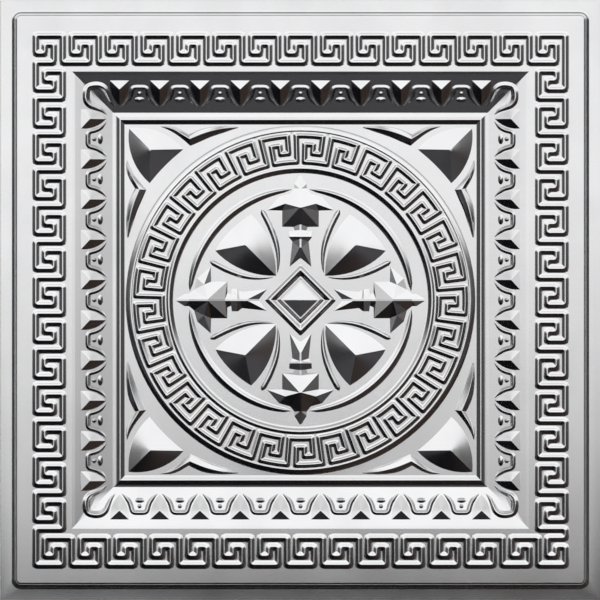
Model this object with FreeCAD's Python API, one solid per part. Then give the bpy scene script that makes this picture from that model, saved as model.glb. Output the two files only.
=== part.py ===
import FreeCAD, Part
import math
import os

# A square ceiling tile pressed from one thin sheet of tinplate. It lies face up, with the back of
# its flange on z = 0 and its middle on the z axis. All sizes are in millimetres.

# The sheet and its level zones, from the rim inwards
TILE = 603.0
SHEET = 0.3
FLANGE_WIDTH = 12.5
STEP_RUN = 4.0
STEP_CORNER = 4.0
KEY_MARGIN = 19.3
COVE_MARGIN = 10.1
COVE_WIDTH = 40.7
BEAD_OUTER_SLOPE = 5.5
BEAD_TOP = 2.5
BEAD_INNER_SLOPE = 3.8

# Heights of the zones above the back of the flange
FIELD_RISE = 12.0
PANEL_RISE = 1.0
BEAD_RISE = 2.5

# The key border: one unbroken line on a square grid of cells
KEY_CELL = 9.0
KEY_GAP = 2.7
KEY_RISE = 1.8

# The medallion: a raised ring floor between two rims
RING_CLEARANCE = 0.6
OUTER_RIM_SLOPE = 3.5
OUTER_RIM_FALL = 1.9
FLOOR_WIDTH = 34.8
INNER_RIM_FALL = 3.6
INNER_RIM_SLOPE = 4.3
FLOOR_RISE = 1.4
RIM_RISE = 2.6
RING_ROW_GAP = 2.8
RING_CELL_GAP = 1.3
RING_KEY_MARGIN = 0.8
RING_KEY_RISE = 1.8
RING_START = 1.5

# Darts, arches and corner curls on the slope of the cove
DART_PITCH = 40.4
DART_END = 6.5
DART_TIP_GAP = 7.5
DART_BASE_GAP = 9.0
DART_HALF_WIDTH = 9.4
DART_RISE = 4.0
DART_CROWN = 0.35
ARCH_WIDTH = 3.8
ARCH_GAP = 2.6
ARCH_TIP_GAP = 9.5
ARCH_BASE_GAP = 13.5
ARCH_RISE = 2.2
CURL_WIDTH = 4.6
CURL_RISE = 2.2

# The centre diamond, as half diagonals
DIAMOND = 35.7
DIAMOND_RIDGE_SLOPE = 5.0
DIAMOND_RIDGE_FALL = 6.6
DIAMOND_GROOVE = 0.6
PLINTH_SLOPE = 4.5
PLINTH_TOP = 2.0
DIAMOND_RISE = 2.5
PLINTH_RISE = 2.5
PYRAMID_RISE = 4.0

# The rose: four arms, four petals and their crescents. These are drawn sizes: the whole rose is
# then fitted to the disc inside the medallion.
ARM_CLEARANCE = 2.0
ARM_TAIL_GAP = 5.8
ARM_RISE = 6.0
STEM_RISE = 3.2
WING_RISE = 3.5
WING_HALF_WIDTH = 33.7
CRESCENT_CLEARANCE = 11.2
CRESCENT_WIDTH = 9.7
CRESCENT_END = 5.0
CRESCENT_RISE = 2.0
PETAL_CLEARANCE = 7.3
PETAL_TIP_GAP = 9.5
PETAL_LENGTH = 64.5
PETAL_HALF_ANGLE = 15.0
PETAL_BULGE = 7.9
PETAL_RISE = 7.0
PETAL_CROWN = 0.68
PETAL_RIB_GAP = 3.8
PETAL_RIB_WIDTH = 4.6
PETAL_RIB_RISE = 1.8

# Corner leaves and the brackets beside them, as drawn sizes fitted to the panel's corners
LEAF_CLEARANCE = 4.2
LEAF_DEPTH = 51.7
LEAF_LENGTH = 54.0
LEAF_RING_GAP = 16.0
LEAF_BULGE = 7.0
LEAF_RISE = 7.0
LEAF_CROWN = 0.42
BRACKET_GAP = 4.2
BRACKET_WIDTH = 8.6
BRACKET_RISE = 2.2

# Straight runs in a drawn arc
ARC_STEPS = 4

# Worked out from the sizes above
TILE_HALF = TILE / 2
STEP_FOOT = TILE_HALF - FLANGE_WIDTH
FIELD_HALF = STEP_FOOT - STEP_RUN
KEY_HALF = FIELD_HALF - KEY_MARGIN
KEY_MOTIFS = round((2 * KEY_HALF / KEY_CELL - 3) / 4)
KEY_CELLS = 4 * KEY_MOTIFS + 3
KEY_UNIT = 2 * KEY_HALF / KEY_CELLS
COVE_OUTER = KEY_HALF - 3 * KEY_UNIT - COVE_MARGIN
COVE_INNER = COVE_OUTER - COVE_WIDTH
COVE_FALL = FIELD_RISE - PANEL_RISE
BEAD_OUTER = COVE_INNER - BEAD_OUTER_SLOPE
BEAD_INNER = BEAD_OUTER - BEAD_TOP
PANEL_HALF = BEAD_INNER - BEAD_INNER_SLOPE
RING_FOOT = PANEL_HALF - RING_CLEARANCE
RING_CREST = RING_FOOT - OUTER_RIM_SLOPE
FLOOR_OUTER = RING_CREST - OUTER_RIM_FALL
FLOOR_INNER = FLOOR_OUTER - FLOOR_WIDTH
INNER_CREST = FLOOR_INNER - INNER_RIM_FALL
DISC = INNER_CREST - INNER_RIM_SLOPE
RING_RIB_HALF = (FLOOR_WIDTH - 2 * RING_KEY_MARGIN - 3 * RING_ROW_GAP) / 8
RING_KEY_OUTER = FLOOR_OUTER - RING_KEY_MARGIN - RING_RIB_HALF
RING_KEY_INNER = FLOOR_INNER + RING_KEY_MARGIN + RING_RIB_HALF
RING_MOTIFS = int(math.pi * RING_KEY_INNER / (4 * RING_RIB_HALF + 2 * RING_CELL_GAP))
DARTS = round(2 * (COVE_INNER - DART_END) / DART_PITCH) + 1
PETAL_ROOT = DIAMOND / math.sqrt(2) + PETAL_TIP_GAP
PETAL_END = PETAL_ROOT + PETAL_LENGTH
ROSE_DISC = PETAL_END + PETAL_CLEARANCE + CRESCENT_WIDTH + CRESCENT_CLEARANCE
ROSE_FIT = DISC / ROSE_DISC
CORNER_DRAWN = LEAF_CLEARANCE * math.sqrt(2) + LEAF_DEPTH + LEAF_RING_GAP
CORNER_FIT = (PANEL_HALF * math.sqrt(2) - RING_FOOT) / CORNER_DRAWN


def offset(line, distance, closed=True):
    """A line moved sideways by a distance, to the left where it is positive, with mitred corners."""
    moved = []
    count = len(line)
    for index, (x, y) in enumerate(line):
        before = line[index - 1] if closed or index > 0 else None
        after = line[(index + 1) % count] if closed or index < count - 1 else None
        normals = []
        for start, end in ((before, (x, y)), ((x, y), after)):
            if start is None or end is None:
                continue
            run = math.hypot(end[0] - start[0], end[1] - start[1])
            normals.append(((start[1] - end[1]) / run, (end[0] - start[0]) / run))
        first = normals[0]
        last = normals[-1]
        stretch = distance / (1 + first[0] * last[0] + first[1] * last[1])
        moved.append((x + stretch * (first[0] + last[0]), y + stretch * (first[1] + last[1])))
    return moved


def arc(start, end, sagitta, steps=ARC_STEPS):
    """Points from start up to but not including end, on an arc that bulges to the right."""
    chord = math.hypot(end[0] - start[0], end[1] - start[1])
    along = ((end[0] - start[0]) / chord, (end[1] - start[1]) / chord)
    radius = (chord * chord / 4 + sagitta * sagitta) / (2 * abs(sagitta))
    points = []
    for step in range(steps):
        run = chord * (step / steps - 0.5)
        depth = math.sqrt(radius * radius - run * run) - (radius - abs(sagitta))
        depth = math.copysign(depth, sagitta)
        middle = ((start[0] + end[0]) / 2, (start[1] + end[1]) / 2)
        points.append((middle[0] + run * along[0] + depth * along[1],
                       middle[1] + run * along[1] - depth * along[0]))
    return points


def polar(radius, degrees):
    """A point at an angle measured clockwise from the top side's middle."""
    angle = math.radians(degrees)
    return (radius * math.sin(angle), radius * math.cos(angle))


def square(half, corner=0.0, steps=3):
    """The corners of a square, or points round its rounded corners, anticlockwise."""
    points = []
    for quarter in range(4):
        if corner == 0:
            points.append(quarter_turn((half, half), quarter))
            continue
        for step in range(steps + 1):
            angle = math.pi / 2 * step / steps
            point = (half - corner + corner * math.cos(angle), half - corner + corner * math.sin(angle))
            points.append(quarter_turn(point, quarter))
    return points


def quarter_turn(point, quarters):
    """A point turned about the z axis by a number of quarter turns."""
    for _ in range(quarters % 4):
        point = (-point[1], point[0]) + tuple(point[2:])
    return point


def level(points, height):
    """Plan points as points in space, all at one height."""
    return [(x, y, height) for x, y in points]


def outline_wire(points):
    """A closed wire with straight edges through points in space."""
    corners = [FreeCAD.Vector(*point) for point in points]
    return Part.makePolygon(corners + corners[:1])


def facet(points):
    """A flat face with straight edges."""
    return Part.Face(outline_wire(points))


def pierced(wires):
    """A flat face inside the first wire, open inside the others."""
    return Part.makeFace(wires, "Part::FaceMakerCheese")


def band(outer, inner):
    """Flat faces between two closed loops in space with the same number of points."""
    faces = []
    for index in range(len(outer)):
        after = (index + 1) % len(outer)
        faces.append(facet([outer[index], outer[after], inner[after], inner[index]]))
    return faces


class Ornament:
    """A raised ornament: the outline where it leaves its base, and its facets.

    Its points hold their place in plan and their rise over the base.
    """

    def __init__(self, outline, facets):
        self.outline = outline
        self.facets = facets

    def changed(self, change):
        return Ornament([change(p) for p in self.outline], [[change(p) for p in f] for f in self.facets])

    def turned(self, quarters):
        return self.changed(lambda p: quarter_turn(p, quarters))

    def mirrored(self):
        return self.changed(lambda p: (-p[0], p[1], p[2]))

    def swapped(self):
        """Mirrored about the diagonal through the first quadrant."""
        return self.changed(lambda p: (p[1], p[0], p[2]))

    def moved(self, run):
        return self.changed(lambda p: (p[0] + run, p[1], p[2]))

    def fitted(self, scale):
        """Larger or smaller in plan, with the same rise."""
        return self.changed(lambda p: (p[0] * scale, p[1] * scale, p[2]))

    def on(self, base):
        """The ornament's wire and faces, standing on a base height given by plan place."""
        placed = self.changed(lambda p: (p[0], p[1], p[2] + base(p[0], p[1])))
        return outline_wire(placed.outline), [facet(f) for f in placed.facets]


def fan(outline, apex):
    """An ornament whose facets all rise from its outline to one apex."""
    foot = level(outline, 0.0)
    facets = [[foot[index - 1], foot[index], apex] for index in range(len(foot))]
    return Ornament(foot, facets)


def rib(crest, half_widths, rise):
    """An open rib with sloping sides, as wide at each crest point as its half width says.

    A half width of zero at an end closes the rib in a point.
    """
    left = offset(crest, 1.0, closed=False)
    sides = ([], [])
    for (x, y), (near_x, near_y), half in zip(crest, left, half_widths):
        run = math.hypot(near_x - x, near_y - y)
        across = ((near_x - x) / run * half, (near_y - y) / run * half)
        sides[0].append((x + across[0], y + across[1], 0.0))
        sides[1].append((x - across[0], y - across[1], 0.0))
    top = [(x, y, rise if half > 0 else 0.0) for (x, y), half in zip(crest, half_widths)]
    facets = []
    for side in sides:
        for index in range(len(crest) - 1):
            corners = (top[index], top[index + 1], side[index + 1], side[index])
            for triple in ((0, 1, 2), (0, 2, 3)):
                points = [corners[place] for place in triple]
                if len(set(points)) == 3:
                    facets.append(points)
    outline = list(sides[0])
    for point in reversed(sides[1]):
        if point not in outline:
            outline.append(point)
    return Ornament(outline, facets)


def key_line():
    """The border's centreline on its square grid, in columns and rows from the top left corner."""
    last = KEY_CELLS
    line = []
    for motif in range(KEY_MOTIFS + 1):
        c = 4 * motif
        line += [(c + 2, 3), (c + 2, 1), (c + 1, 1), (c + 1, 2), (c, 2), (c, 0), (c + 3, 0)]
        if motif < KEY_MOTIFS:
            line.append((c + 3, 3))
    for motif in range(KEY_MOTIFS - 1):
        r = 4 * motif
        line += [(last, r + 6), (last - 2, r + 6), (last - 2, r + 5), (last - 1, r + 5)]
        line += [(last - 1, r + 4), (last - 3, r + 4), (last - 3, r + 7), (last, r + 7)]
    line += [(last, last - 3), (last - 2, last - 3), (last - 2, last - 1), (last - 1, last - 1)]
    line += [(last - 1, last - 2), (last, last - 2), (last, last), (last - 3, last), (last - 3, last - 3)]
    for motif in reversed(range(KEY_MOTIFS)):
        c = 4 * motif
        line += [(c + 1, last - 3), (c + 1, last - 1), (c + 2, last - 1), (c + 2, last - 2)]
        line += [(c + 3, last - 2), (c + 3, last), (c, last)]
        if motif > 0:
            line.append((c, last - 3))
    for motif in reversed(range(KEY_MOTIFS - 1)):
        r = 4 * motif
        line += [(0, r + 7), (3, r + 7), (3, r + 4), (1, r + 4), (1, r + 5), (2, r + 5)]
        line += [(2, r + 6), (0, r + 6)]
    line += [(0, 3)]
    return [(c * KEY_UNIT - KEY_HALF, KEY_HALF - r * KEY_UNIT) for c, r in line]


def ring_key_line():
    """The medallion's key line: the border's motif bent round the ring floor."""
    row = (RING_KEY_OUTER - RING_KEY_INNER) / 3
    cell = 90.0 / RING_MOTIFS
    motif_line = ((0, 3), (0, 0), (3, 0), (3, 2), (2, 2), (2, 1), (1, 1), (1, 3))
    line = []
    for motif in range(RING_MOTIFS):
        for column, step in motif_line:
            line.append(polar(RING_KEY_OUTER - step * row, (4 * motif + column) * cell - RING_START))
    return line


def closed_rib(line, half_width, base, rise):
    """The two foot outlines of a closed rib of even width, and its sloping faces."""
    first = level(offset(line, half_width), base)
    second = level(offset(line, -half_width), base)
    crest = level(line, base + rise)
    return first, second, band(first, crest) + band(crest, second)


def border():
    """The level field and the key rib that runs round it."""
    first, second, faces = closed_rib(key_line(), (KEY_UNIT - KEY_GAP) / 2, FIELD_RISE, KEY_RISE)
    edge = outline_wire(level(square(FIELD_HALF, STEP_CORNER), FIELD_RISE))
    cove_edge = outline_wire(level(square(COVE_OUTER), FIELD_RISE))
    faces.append(pierced([edge, outline_wire(first)]))
    faces.append(pierced([outline_wire(second), cove_edge]))
    return faces


def flange_and_step():
    """The level flange round the tile and the steep step up to the field."""
    foot = level(square(STEP_FOOT, STEP_CORNER + STEP_RUN), 0.0)
    top = level(square(FIELD_HALF, STEP_CORNER), FIELD_RISE)
    flange = pierced([outline_wire(level(square(TILE_HALF), 0.0)), outline_wire(foot)])
    return [flange] + band(foot, top)


def cove_height(x, y):
    """The height of the cove's slope on the side that a plan place is nearest to."""
    return PANEL_RISE + COVE_FALL * (max(abs(x), abs(y)) - COVE_INNER) / COVE_WIDTH


def cove_ornaments():
    """The darts and arches of the top side."""
    pitch = 2 * (COVE_INNER - DART_END) / (DARTS - 1)
    tip = COVE_INNER + DART_TIP_GAP
    base = COVE_OUTER - DART_BASE_GAP
    half = DART_HALF_WIDTH
    dart = fan([(0.0, tip), (half, base), (-half, base)], (0.0, base - (base - tip) * DART_CROWN, DART_RISE))
    arch_foot = COVE_OUTER - ARCH_BASE_GAP
    arch_tip = COVE_INNER + ARCH_TIP_GAP
    low = pitch / 2 - half - ARCH_GAP
    high = pitch / 2 - ARCH_WIDTH - ARCH_GAP / 2
    line = [(-high, arch_tip), (-low, arch_foot), (low, arch_foot), (high, arch_tip)]
    arch = rib(line, [0.0, ARCH_WIDTH / 2, ARCH_WIDTH / 2, 0.0], ARCH_RISE)
    start = -pitch * (DARTS - 1) / 2
    placed = [dart.moved(start + index * pitch) for index in range(DARTS)]
    placed += [arch.moved(start + (index + 0.5) * pitch) for index in range(DARTS - 1)]
    return placed


def curl():
    """The curl round the cove's first corner: a rib from one slope over the mitre to the other."""
    half = [(COVE_INNER + COVE_WIDTH * across, COVE_INNER + COVE_WIDTH * up)
            for across, up in ((-0.09, 0.18), (0.10, 0.40), (0.20, 0.60), (0.42, 0.67))]
    top = COVE_INNER + COVE_WIDTH * 0.6
    line = half + [(top, top)] + [(y, x) for x, y in reversed(half)]
    widths = [CURL_WIDTH / 2] * (len(line) - 2)
    return rib(line, [0.0] + widths + [0.0], CURL_RISE)


def slope_outline():
    """The top side's slope, with its mitred ends notched round the halves of the corner curls."""
    foot = curl().outline
    middle = len(foot) // 4
    notch = [(x, y) for x, y, _ in foot[-middle:] + foot[:middle + 1]]
    right = [(COVE_INNER, COVE_INNER)] + notch + [(COVE_OUTER, COVE_OUTER)]
    left = [(-x, y) for x, y in reversed(right)]
    return [(x, y, cove_height(x, y)) for x, y in right + left]


def cove():
    """The four slopes from the field down to the panel, with their darts, arches and curls."""
    wires = [outline_wire(slope_outline())]
    faces = curl().on(cove_height)[1]
    for ornament in cove_ornaments():
        wire, facets = ornament.on(cove_height)
        wires.append(wire)
        faces += facets
    faces.append(pierced(wires))
    side = Part.makeCompound(faces)
    sides = []
    for quarter in range(4):
        turned = side.copy()
        turned.rotate(FreeCAD.Vector(0, 0, 0), FreeCAD.Vector(0, 0, 1), 90 * quarter)
        sides += turned.Faces
    return sides


def bead():
    """The narrow raised bead that frames the panel."""
    foot = level(square(COVE_INNER), PANEL_RISE)
    outer = level(square(BEAD_OUTER), PANEL_RISE + BEAD_RISE)
    inner = level(square(BEAD_INNER), PANEL_RISE + BEAD_RISE)
    panel = level(square(PANEL_HALF), PANEL_RISE)
    return band(foot, outer) + band(outer, inner) + band(inner, panel)


def circle_wire(radius, height):
    """A level circle about the z axis."""
    return Part.Wire(Part.makeCircle(radius, FreeCAD.Vector(0, 0, height)))


def turned_faces(profile):
    """The faces swept by a profile of radius and height pairs about the z axis."""
    points = [FreeCAD.Vector(radius, 0, height) for radius, height in profile]
    return Part.makePolygon(points).revolve(FreeCAD.Vector(0, 0, 0), FreeCAD.Vector(0, 0, 1), 360).Faces


def medallion():
    """The two rims, the raised floor between them and the key rib on it."""
    floor = PANEL_RISE + FLOOR_RISE
    crest = PANEL_RISE + RIM_RISE
    faces = turned_faces([(RING_FOOT, PANEL_RISE), (RING_CREST, crest), (FLOOR_OUTER, floor)])
    faces += turned_faces([(FLOOR_INNER, floor), (INNER_CREST, crest), (DISC, PANEL_RISE)])
    first, second, sides = closed_rib(ring_key_line(), RING_RIB_HALF, floor, RING_KEY_RISE)
    faces += sides
    faces.append(pierced([circle_wire(FLOOR_OUTER, floor), outline_wire(first)]))
    faces.append(pierced([outline_wire(second), circle_wire(FLOOR_INNER, floor)]))
    return faces


def leaf_tip():
    """The leaf's corner point and its tip on the top side, where the ring's clearance cuts it off."""
    corner = PANEL_HALF - LEAF_CLEARANCE * CORNER_FIT
    reach = RING_FOOT + LEAF_RING_GAP * CORNER_FIT
    across = corner - LEAF_LENGTH * CORNER_FIT
    return corner, reach, (across, math.sqrt(reach * reach - across * across))


def leaf():
    """The leaf in the first corner, between the panel's corner and the ring."""
    corner, reach, tip = leaf_tip()
    other = (tip[1], tip[0])
    bulge = LEAF_BULGE * CORNER_FIT
    chord = math.hypot(tip[0] - other[0], tip[1] - other[1])
    dip = reach - math.sqrt(reach * reach - chord * chord / 4)
    outline = arc((corner, corner), tip, bulge)
    outline += arc(tip, other, -dip)
    outline += arc(other, (corner, corner), bulge)
    middle = (reach + LEAF_DEPTH * CORNER_FIT * LEAF_CROWN) / math.sqrt(2)
    return fan(outline, (middle, middle, LEAF_RISE))


def bracket():
    """The bird shaped rib beside a leaf: one wing along the leaf, one along the ring."""
    corner, reach, tip = leaf_tip()
    top = PANEL_HALF - BRACKET_GAP * CORNER_FIT
    room = top - tip[1]
    run = corner - tip[0]
    line = [(tip[0] + run * 0.41, top), (tip[0] + run * 0.04, tip[1] + room * 0.76),
            (tip[0] - run * 0.135, tip[1] + room * 0.36), (tip[0] - run * 0.50, tip[1] + room * 0.80),
            (tip[0] - run * 0.98, top)]
    half = BRACKET_WIDTH / 2 * CORNER_FIT
    return rib(line, [0.0, half * 0.6, half, half * 0.7, 0.0], BRACKET_RISE)


def petal_corners():
    """The petal's root and the ends of its outer edge, on the first diagonal."""
    left = polar(PETAL_END, 45 - PETAL_HALF_ANGLE)
    return polar(PETAL_ROOT, 45), left, (left[1], left[0])


def petal():
    """One petal: three facets that rise to a crown near its outer edge."""
    root, left, right = petal_corners()
    bow = PETAL_END * (1 - math.cos(math.radians(PETAL_HALF_ANGLE)))
    outline = arc(root, right, PETAL_BULGE)
    outline += arc(right, left, bow)
    outline += arc(left, root, PETAL_BULGE)
    crown = polar(PETAL_ROOT + PETAL_LENGTH * PETAL_CROWN, 45)
    return fan(outline, crown + (PETAL_RISE,))


def petal_rib():
    """The curved rib along a petal's edge, which spreads from it at both ends."""
    root, left, right = petal_corners()
    edge = [root] + list(reversed(arc(left, root, PETAL_BULGE, 2 * ARC_STEPS)))
    line = []
    for place, spread in ((7, 3.05), (6, 2.13), (4, 1.0), (2, 0.85), (0, 0.3)):
        line.append(offset(edge, PETAL_RIB_GAP * spread, closed=False)[place])
    half = PETAL_RIB_WIDTH / 2
    return rib(line, [0.0, half, half * 0.9, half * 0.6, 0.0], PETAL_RIB_RISE)


def crescent():
    """The long thin crescent round the outer end of a petal."""
    middle = ROSE_DISC - CRESCENT_CLEARANCE - CRESCENT_WIDTH / 2
    steps = 6
    line = []
    halves = []
    for step in range(steps + 1):
        share = step / steps
        line.append(polar(middle, CRESCENT_END + (90 - 2 * CRESCENT_END) * share))
        halves.append(CRESCENT_WIDTH / 2 * math.sqrt(math.sin(math.pi * share)))
    halves[0] = halves[-1] = 0.0
    return rib(line, halves, CRESCENT_RISE)


def arm():
    """One arm of the cross: a spear head with wings, on a stem with a knot and a forked tail."""
    start = DIAMOND + ARM_TAIL_GAP
    end = ROSE_DISC - ARM_CLEARANCE
    width = WING_HALF_WIDTH

    def at(across, along, rise=0.0):
        return (width * across, start + (end - start) * along, rise)

    tip = at(0, 1)
    spear = at(0.22, 0.885)
    neck = at(0.145, 0.84)
    shoulder = at(0.285, 0.785)
    brow = at(0.56, 0.741)
    wing = at(1, 0.59)
    pit = at(0.55, 0.576)
    hip = at(0.55, 0.394)
    hem = at(0.217, 0.392)
    waist = at(0.09, 0.338)
    knot_top = at(0.338, 0.319)
    knot_foot = at(0.338, 0.283)
    stem = at(0.255, 0.215)
    tail = (width * 0.31, start - ARM_TAIL_GAP * 1.4, 0.0)
    notch = at(0, 0)
    apex = at(0, 0.613, ARM_RISE)
    wing_crest = at(0.457, 0.66, WING_RISE)
    spine = at(0, 0.84, STEM_RISE)
    roof = at(0, 0.393, STEM_RISE)
    knot = at(0, 0.301, STEM_RISE)
    roof_end = at(0, 0.133, STEM_RISE)
    half = [(apex, spine, wing_crest), (spine, shoulder, wing_crest), (spine, neck, shoulder),
            (wing_crest, shoulder, brow), (wing_crest, brow, wing), (spine, tip, spear),
            (spine, spear, neck), (apex, wing_crest, pit), (wing_crest, wing, pit), (apex, pit, hip),
            (apex, hip, roof), (roof, hip, hem), (roof, hem, waist), (roof, waist, knot),
            (waist, knot_top, knot), (knot, knot_top, knot_foot), (knot, knot_foot, stem),
            (knot, stem, roof_end), (roof_end, stem, tail), (roof_end, tail, notch)]
    right = Ornament([tip, spear, neck, shoulder, brow, wing, pit, hip, hem, waist, knot_top,
                      knot_foot, stem, tail, notch], half)
    left = right.mirrored()
    outline = right.outline + list(reversed(left.outline[1:-1]))
    return Ornament(outline, right.facets + left.facets)


def diamond():
    """The ridge round the centre and the plinth with its pyramid, with their corners on the axes."""
    def lozenge(half, rise):
        corner = (half * ROSE_FIT, 0.0, PANEL_RISE + rise)
        return [quarter_turn(corner, quarter) for quarter in range(4)]

    foot = lozenge(DIAMOND, 0.0)
    crest = lozenge(DIAMOND - DIAMOND_RIDGE_SLOPE, DIAMOND_RISE)
    inside = lozenge(DIAMOND - DIAMOND_RIDGE_SLOPE - DIAMOND_RIDGE_FALL, 0.0)
    plinth_half = DIAMOND - DIAMOND_RIDGE_SLOPE - DIAMOND_RIDGE_FALL - DIAMOND_GROOVE
    plinth = lozenge(plinth_half, 0.0)
    plinth_top = lozenge(plinth_half - PLINTH_SLOPE, PLINTH_RISE)
    pyramid = lozenge(plinth_half - PLINTH_SLOPE - PLINTH_TOP, PLINTH_RISE)
    apex = (0.0, 0.0, PANEL_RISE + PLINTH_RISE + PYRAMID_RISE)
    faces = band(foot, crest) + band(crest, inside) + band(inside, plinth)
    faces += band(plinth, plinth_top) + band(plinth_top, pyramid)
    faces += [facet([pyramid[index - 1], pyramid[index], apex]) for index in range(4)]
    return outline_wire(foot), faces


def panel():
    """The level panel round the medallion, with the leaves and brackets in its corners."""
    wires = [outline_wire(level(square(PANEL_HALF), PANEL_RISE)), circle_wire(RING_FOOT, PANEL_RISE)]
    faces = []
    for quarter in range(4):
        for ornament in (leaf(), bracket(), bracket().swapped()):
            wire, facets = ornament.turned(quarter).on(lambda x, y: PANEL_RISE)
            wires.append(wire)
            faces += facets
    faces.append(pierced(wires))
    return faces


def rose():
    """The disc inside the medallion, with the arms, petals, ribs and crescents round the diamond."""
    diamond_wire, faces = diamond()
    wires = [circle_wire(DISC, PANEL_RISE), diamond_wire]
    for quarter in range(4):
        for ornament in (arm(), petal(), petal_rib(), petal_rib().swapped(), crescent()):
            wire, facets = ornament.fitted(ROSE_FIT).turned(quarter).on(lambda x, y: PANEL_RISE)
            wires.append(wire)
            faces += facets
    faces.append(pierced(wires))
    return faces


def pressed_sheet():
    """The sheet between its pressed surface and the same surface one thickness higher."""
    back = Part.makeCompound(flange_and_step() + border() + cove() + bead() + panel() + medallion() + rose())
    front = back.copy()
    front.translate(FreeCAD.Vector(0, 0, SHEET))
    edges = band(level(square(TILE_HALF), 0.0), level(square(TILE_HALF), SHEET))
    skin = Part.makeCompound(back.Faces + front.Faces + edges)
    skin.sewShape()
    sheet = Part.Solid(skin.Shells[0])
    if sheet.Volume < 0:
        sheet.reverse()
    return sheet


os.makedirs("parts", exist_ok=True)
pressed_sheet().exportStep("parts/pressed_sheet.step")
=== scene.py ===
import math

import bpy
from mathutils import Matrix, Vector
from mathutils.geometry import delaunay_2d_cdt


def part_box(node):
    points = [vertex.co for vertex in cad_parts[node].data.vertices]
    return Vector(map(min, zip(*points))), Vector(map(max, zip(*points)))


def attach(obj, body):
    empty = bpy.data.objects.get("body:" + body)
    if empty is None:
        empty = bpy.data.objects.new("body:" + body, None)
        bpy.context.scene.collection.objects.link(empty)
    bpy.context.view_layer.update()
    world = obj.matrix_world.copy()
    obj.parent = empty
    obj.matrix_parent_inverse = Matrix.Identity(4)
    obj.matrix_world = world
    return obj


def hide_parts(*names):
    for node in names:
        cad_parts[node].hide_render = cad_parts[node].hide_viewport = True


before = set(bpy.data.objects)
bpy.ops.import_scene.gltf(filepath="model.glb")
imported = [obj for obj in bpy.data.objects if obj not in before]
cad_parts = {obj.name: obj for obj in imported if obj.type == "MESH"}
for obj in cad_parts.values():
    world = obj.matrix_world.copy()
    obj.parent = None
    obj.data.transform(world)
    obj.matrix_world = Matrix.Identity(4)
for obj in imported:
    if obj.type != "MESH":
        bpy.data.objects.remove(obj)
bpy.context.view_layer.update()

# The dressed tile is one mesh. It is built in millimetres on the plan of the CAD sheet: x to the
# right, y to the top side, z out of the pressed face. Heights are those of the sheet's back, and
# the face lies one thickness over them. A scale turns it all into metres at the end.
MM = 0.001
SHEET_NODE = "pressed_sheet"
TILE_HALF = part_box(SHEET_NODE)[1].x / MM
SHEET = 0.3
SIDES = 4

# Distances from the middle of the tile to the edges of its zones. The border's key line lies on a
# square grid, and each of its motifs takes four cells of it.
FIELD_EDGE = TILE_HALF - 16.5
KEY_HALF = TILE_HALF - 35.8
KEY_MOTIFS = 14
MOTIF_CELLS = 4
KEY_CELLS = MOTIF_CELLS * KEY_MOTIFS + 3
KEY_UNIT = 2 * KEY_HALF / KEY_CELLS
COVE_OUTER = KEY_HALF - 3 * KEY_UNIT - 10.1
COVE_WIDTH = 40.7
COVE_INNER = COVE_OUTER - COVE_WIDTH

# Heights of the border's field, the panel and the medallion's ring floor over the flange
FIELD = 12.0
PANEL = 1.0
RING_FLOOR = 2.4

# Cross sections, as pairs of a distance from the middle of the tile and a height
STEP_SECTION = ((290.9, 0.26), (290.6, 0.27), (289.8, 0.36), (289.0, 0.85), (288.3, 2.2),
                (286.3, 9.8), (285.6, 11.3), (284.8, 11.88), (284.0, 12.0), (283.7, 12.0))
COVE_EDGE_SECTION = ((229.9, 12.0), (229.5, 11.995), (229.15, 11.95), (228.7, 11.86),
                     (228.2, 11.76), (227.6, 11.64), (226.8, 11.48), (226.2, 11.357))
BEAD_SECTION = ((189.2, 1.357), (188.7, 1.225), (188.1, 1.12), (187.6, 1.12), (186.0, 1.35),
                (184.6, 1.74), (183.5, 2.25), (182.5, 2.85), (181.9, 3.2), (181.3, 3.35),
                (180.8, 3.33), (180.3, 3.1), (179.9, 2.82), (177.2, 1.22), (176.7, 1.05),
                (176.2, 1.0), (175.95, 1.0))
OUTER_RIM_SECTION = ((175.85, 1.0), (175.65, 1.05), (175.3, 1.35), (174.4, 2.1), (172.5, 3.05),
                     (171.0, 3.6), (170.4, 3.68), (169.9, 3.5), (169.6, 3.0), (169.42, 2.5),
                     (169.25, 2.4))
INNER_RIM_SECTION = ((135.35, 2.4), (135.15, 2.4), (134.8, 2.48), (134.3, 2.7), (133.4, 3.3),
                     (132.7, 3.58), (131.9, 3.55), (131.1, 3.2), (129.4, 1.8), (128.6, 1.25),
                     (127.9, 1.05), (127.3, 1.0), (127.0, 1.0))

# The ridge round the centre, then the plinth and its pyramid, with heights over the panel
DIAMOND_SECTION = ((36.7, 0.0), (36.3, 0.0), (35.6, 0.12), (34.6, 0.7), (32.6, 2.2), (31.9, 2.5),
                   (31.2, 2.6), (30.2, 2.6), (29.5, 2.45), (28.7, 2.0), (26.0, 0.6), (25.0, 0.15),
                   (24.2, 0.0), (23.7, 0.05), (23.1, 0.4), (20.6, 2.4), (20.0, 2.75), (19.4, 2.8),
                   (17.7, 2.8), (17.3, 2.86), (16.8, 2.98), (1.6, 6.44), (1.0, 6.5), (0.0, 6.52))

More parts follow.
